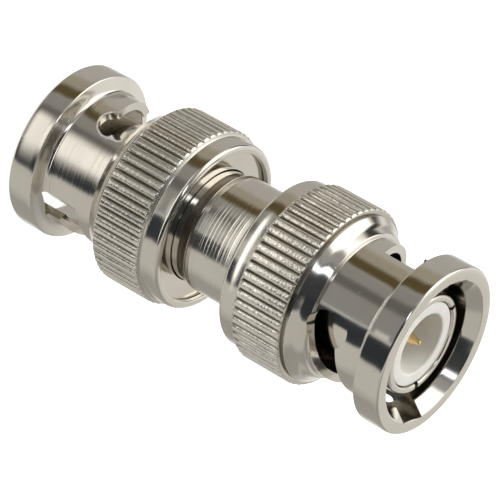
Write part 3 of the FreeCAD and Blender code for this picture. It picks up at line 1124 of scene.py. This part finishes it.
    def build(self) -> None:
        """Model and dress every piece of the plug but its nut."""
        self.add(self.contact(), "_outer_contact", "nickel", self.slit_turn)
        self.add(self.insulator(), "_insulator", "dielectric")
        self.add(self.pin(), "_centre_pin", "gold")
        self.add(self.gasket(), "_gasket", "gasket")
        washers = self.end.value + "_washers"
        self.add(self.washer(self.slip_radius, self.slip_rear, self.slip_front),
                 "_slip_washer", "nickel", body=washers)
        self.add(self.washer(self.retaining_radius, self.retaining_rear, self.slip_rear),
                 "_retaining_washer", "nickel", body=washers)
        self.add_springs()


@dataclass
class Barrel:
    """Centre barrel and the bead inside it."""

    half: float
    finishes: dict[str, Material]
    radius: float = 4.80
    band_end: float = 2.20
    end_radius: float = 4.20
    end_height: float = 2.90
    socket_radius: float = 3.63
    rib_end: float = 0.80
    rib_radius: float = 2.90
    edge_round: float = 0.28
    step_round: float = 0.12

    def build(self) -> None:
        """Model and dress the barrel, and dress its bead."""
        outside = [
            Corner(self.rib_radius, self.rib_end), Corner(self.socket_radius, self.rib_end),
            Corner(self.socket_radius, self.end_height), Corner(self.end_radius, self.end_height),
            Corner(self.end_radius, self.band_end, self.step_round),
            Corner(self.radius, self.band_end, self.edge_round),
        ]
        inverse = [Corner(c.radius, -c.height, c.rounding) for c in reversed(outside)]
        dressed(turned(outside + inverse, steps=320, longest=0.5), "centre_barrel",
                Matrix.Translation((0, 0, self.half)), "core", "nickel",
                self.finishes["nickel_brushed"])
        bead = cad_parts["centre_insulator"]
        bead.data.materials.clear()
        bead.data.materials.append(self.finishes["dielectric"])


# Studio


@dataclass(frozen=True)
class Card:
    """A light or dark patch of the surroundings; its angles are in degrees.

    The azimuth runs from the camera's side toward +X, and low and high are heights over the
    horizon. A warmth of 1 is brown, and one below 0 is bluish.
    """

    azimuth: float
    half_width: float
    low: float
    high: float
    light: float
    warmth: float = 0.0
    side_blur: float = 4.0
    edge_blur: float = 6.0

    def colour(self) -> Colour:
        """Light of the patch."""
        return (self.light, self.light * (1 - GREEN_LOSS * self.warmth),
                self.light * (1 - BLUE_LOSS * self.warmth))

    def mask(self, x: Number, y: Number, z: Number) -> Number:
        """Share of the patch in a direction.

        Args:
            x: The direction's X, for a direction of length 1.
            y: Its Y.
            z: Its Z.

        Returns:
            1 on the patch and 0 off it.
        """
        centre = math.radians(self.azimuth)
        level = (x * x + y * y).math("SQRT").math("MAXIMUM", LEAST)
        toward = (x * math.sin(centre) - y * math.cos(centre)) / level
        outer = math.cos(math.radians(min(self.half_width + self.side_blur, 180)))
        inner = math.cos(math.radians(max(self.half_width - self.side_blur, 0)))
        share = toward.between(outer, inner)
        if self.low > LOWEST:
            share = share * z.between(*self.rise(self.low))
        return share * (1 - z.between(*self.rise(self.high)))

    def rise(self, edge: float) -> tuple[float, float]:
        """Heights between which one edge of the patch fades."""
        return (math.sin(math.radians(edge - self.edge_blur)),
                math.sin(math.radians(edge + self.edge_blur)))


@dataclass(frozen=True)
class Glow:
    """Bright curved strip that one height of the metal mirrors, as a table close to it does.

    Its azimuths are in degrees from the camera's side toward +X, its heights in millimetres.
    """

    name: str
    start: float
    end: float
    rise: float
    fall: float
    low: float
    high: float
    light: float
    colour: Colour = (1.0, 0.98, 0.94)
    distance: float = 30.0
    soft_edge: float = 0.5
    steps: int = 24

    def material(self) -> Material:
        """Light that fades out toward the strip's edges.

        Returns:
            The material.
        """
        material = bpy.data.materials.new(self.name)
        tree = ShaderTree(material)
        _, x, y, z = tree.position()
        azimuth = x.math("ARCTAN2", y * -1.0) * math.degrees(1)
        share = (azimuth.between(self.start, self.start + self.rise)
                 * (1 - azimuth.between(self.end - self.fall, self.end))
                 * z.between(self.low, self.low + self.soft_edge)
                 * (1 - z.between(self.high - self.soft_edge, self.high)))
        clear = tree.node("ShaderNodeBsdfTransparent")
        lit = tree.node("ShaderNodeEmission", inputs={
            "Color": (*self.colour, 1.0), "Strength": self.light})
        tree.surface(tree.node("ShaderNodeMixShader", inputs={0: share, 1: clear, 2: lit}))
        return material

    def build(self) -> None:
        """Model the strip and hide it from everything but reflections."""
        mesh = bmesh.new()
        edge = math.radians(self.start)
        for height in (self.low, self.high):
            mesh.verts.new(Vector((math.sin(edge), -math.cos(edge), 0)) * self.distance * MM
                           + Vector((0, 0, height * MM)))
        mesh.edges.new(mesh.verts[:])
        bmesh.ops.spin(
            mesh, geom=mesh.verts[:] + mesh.edges[:], cent=(0, 0, 0), axis=(0, 0, 1),
            angle=math.radians(self.end - self.start), steps=self.steps)
        strip = as_object(mesh, self.name)
        strip.data.materials.append(self.material())
        for ray in ("camera", "diffuse", "transmission", "shadow"):
            setattr(strip, "visible_" + ray, False)


@dataclass(frozen=True)
class Studio:
    """Camera, floor and the soft white surroundings with their dark gaps.

    The nearest distance that the camera shows, the floor's size and the lamp's place and size are
    in metres, and the lamp's power is in watts.
    """

    camera_place: tuple[float, float, float] = (0.0, -242.04, 146.10)
    camera_right: tuple[float, float, float] = (-0.4913, 0.4069, 0.7701)
    camera_up: tuple[float, float, float] = (-0.8710, -0.2289, -0.4347)
    lens: float = 264.46
    sensor: float = 36.0
    nearest: float = 0.01
    floor_size: float = 4.0
    floor_grey: float = 0.7
    floor_roughness: float = 0.9
    floor_light: float = 0.85
    tent_light: float = 0.95
    tent_blue: float = 0.97
    lamp_place: tuple[float, float, float] = (-0.42, 0.02, 0.40)
    lamp_size: tuple[float, float] = (0.4, 0.3)
    lamp_power: float = 1.2

    def set_camera(self) -> None:
        """Camera at the photograph's viewing angle."""
        right = Vector(self.camera_right).normalized()
        back = right.cross(Vector(self.camera_up)).normalized()
        up = back.cross(right)
        data = bpy.data.cameras.new("camera")
        data.lens = self.lens
        data.sensor_width = self.sensor
        data.clip_start = self.nearest
        camera = bpy.data.objects.new("camera", data)
        matrix = Matrix((right, up, back)).transposed().to_4x4()
        matrix.translation = Vector(self.camera_place) * MM
        camera.matrix_world = matrix
        bpy.context.scene.collection.objects.link(camera)
        bpy.context.scene.camera = camera

    def set_floor(self) -> None:
        """Pale floor that the metal doesn't mirror."""
        mesh = bmesh.new()
        bmesh.ops.create_grid(mesh, x_segments=1, y_segments=1, size=self.floor_size / 2)
        floor = as_object(mesh, "floor")
        material = bpy.data.materials.new("floor_white")
        tree = ShaderTree(material)
        shader = tree.node("ShaderNodeBsdfPrincipled", inputs={
            "Base Color": (*[self.floor_grey] * 3, 1.0), "Roughness": self.floor_roughness,
            "Emission Color": (1.0, 1.0, 1.0, 1.0), "Emission Strength": self.floor_light})
        tree.surface(shader)
        floor.data.materials.append(material)
        floor.visible_glossy = False
        floor.visible_shadow = False

    def cards(self) -> list[Card]:
        """The patches of the surroundings.

        Returns:
            The patches, from the ones behind to the ones in front.
        """
        below = [
            (180, 30, LOWEST, 2, 0.85, 0.05, 14),
            (-118, 40, LOWEST, 2, 0.50, 0.12, 8),
            (-83, 9, LOWEST, 4, 0.40, 0.40, 6),
            (-62, 10, LOWEST, 14, 0.11, 1.00, 5),
            (-20, 32, LOWEST, 14, 0.31, 0.08, 4),
            (-25, 5, LOWEST, 14, 0.15, 0.15, 6),
            (78, 24, LOWEST, 2, 0.63, 0.10, 4),
            (128, 26, LOWEST, 2, 0.42, 0.12, 10),
        ]
        above = [
            (180, 26, 2, 60, 0.75, 0.10, 8),
            (-150, 22, 2, 60, 0.95, 0.05, 8),
            (-97, 35, 20, 60, 1.90, 0.03, 6),
            (-120, 17, 4, 18, 0.05, 0.20, 6, 3),
            (-46, 14, 14, 75, 0.38, 0.05, 6),
            (0, 36, 10, 75, 0.05, -0.20, 6),
            (0, 85, 68, 90, 0.10, -0.30, 10, 4),
            (118, 36, 2, 70, 0.40, 0.10, 12),
            (78, 22, 2, 70, 0.58, 0.10, 6),
        ]
        front = [
            (37, 17, LOWEST, 60, 0.034, -0.45, 3),
            (13, 4, LOWEST, 4, 0.30, 0.0, 3),
            (-25, 4, 27, 62, 3.0, -0.25, 3, 4),
            (0, 180, LOWEST, -56, 0.80, 0.08, 4),
        ]
        return [Card(*row) for row in below + above + front]

    def set_world(self) -> None:
        """Surroundings: a white tent with its lamp, its walls and the gap beside the camera."""
        world = bpy.data.worlds.new("surroundings")
        bpy.context.scene.world = world
        tree = ShaderTree(world)
        direction = tree.node("ShaderNodeTexCoord", output="Generated")
        x, y, z = [tree.node("ShaderNodeSeparateXYZ", inputs={0: direction}, output=i)
                   for i in range(3)]
        colour: Any = (self.tent_light, self.tent_light, self.tent_light * self.tent_blue)
        for card in self.cards():
            colour = tree.mixed(card.mask(x, y, z), colour, card.colour())
        background = tree.node("ShaderNodeBackground", inputs={"Color": colour, "Strength": 1.0})
        tree.surface(background, "ShaderNodeOutputWorld")

    def set_lamp(self) -> None:
        """Soft lamp high on the left, which faces the object and which no metal mirrors."""
        place = Vector(self.lamp_place)
        data = bpy.data.lights.new("key", "AREA")
        data.shape = "RECTANGLE"
        data.size, data.size_y = self.lamp_size
        data.energy = self.lamp_power
        lamp = bpy.data.objects.new("key", data)
        lamp.location = place
        lamp.rotation_euler = (-place).to_track_quat("-Z", "Y").to_euler()
        lamp.visible_glossy = False
        bpy.context.scene.collection.objects.link(lamp)

    def glows(self) -> list[Glow]:
        """The strips, each named after the surface that mirrors it."""
        return [Glow(*row) for row in (
            ("collar_glow", -24, 46, 12, 34, -17.0, -11.6, 1.25),
            ("sleeve_glow", -24, 34, 20, 24, -11.6, -4.6, 1.35),
            ("barrel_glow", -12, 26, 12, 20, 3.2, 7.0, 0.65),
            ("boss_glow", -50, 60, 26, 40, 8.2, 11.7, 2.70),
            ("mouth_glow", 8, 18, 4, 4, 21.3, 26.0, 0.70))]

    def build(self) -> None:
        """Set up the whole studio."""
        self.set_camera()
        self.set_floor()
        self.set_world()
        self.set_lamp()
        for glow in self.glows():
            glow.build()
        bpy.context.scene.view_settings.view_transform = "Standard"


def make_finishes(middle: float) -> dict[str, Material]:
    """Materials by the slot that wears them.

    Args:
        middle: Height of the mid-plane.

    Returns:
        One material a slot, and others for the barrel, the far nut and its burrs.
    """
    finishes = {
        "nickel": Nickel("nickel", middle),
        # The barrel's groove beside the neck is painted dark as shade
        "nickel_brushed": Nickel(
            "nickel_brushed", middle, roughness=0.14, mark_depth=0.017, groove=(2.2, 2.9, 4.45)),
        # Knurled finishes: crests painted lighter as a highlight, flute roots painted darker as
        # shade
        "nickel_knurled": Nickel("nickel_knurled", middle, mark_depth=0.0008, grain_depth=0.03),
        "nickel_marked": Nickel(
            "nickel_marked", middle, roughness=0.14, mark_depth=0.014, grain_depth=0.03),
        # Pale burrs: painted highlight along the rims of the holes
        "burr": Nickel("burr_nickel_painted_highlight", middle, colour=(0.97, 0.94, 0.87), roughness=0.55),
        "gold": Gold(),
        "dielectric": Moulding(
            "insulator_white", colour=(0.86, 0.85, 0.80), shade=(0.82, 0.80, 0.74),
            roughness=0.35, scatter=0.3),
        "gasket": Moulding(
            "gasket_rubber", colour=(0.10, 0.018, 0.008), shade=(0.06, 0.012, 0.006),
            roughness=0.45),
        "spring_steel": Nickel(
            "spring_steel", middle, colour=(0.55, 0.54, 0.52), roughness=0.25),
    }
    return {slot: finish.material() for slot, finish in finishes.items()}


def main() -> None:
    """Build the studio and the pieces."""
    logging.basicConfig(level=logging.INFO, format="%(name)s: %(message)s")
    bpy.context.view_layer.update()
    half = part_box("upper_coupling_nut")[1][2] / MM / 2
    Studio().build()
    finishes = make_finishes(half)
    Barrel(half, finishes).build()
    log.info("barrel done")
    nut = CouplingNut(half)
    # Each end with the turn of its slots, in degrees, and the finish of its nut
    ends = ((End.UPPER, 24.6, "nickel_knurled"), (End.LOWER, 33.1, "nickel_marked"))
    for end, turn, look in ends:
        plug = Plug(end, half, finishes)
        plug.build()
        log.info("%s plug: %d pieces", end.value, len(plug.pieces))
        piece = nut.build(end, turn, finishes[look], finishes["burr"])
        log.info("%s: %d faces", piece.name, len(piece.data.polygons))


if __name__ == "__main__":
    main()
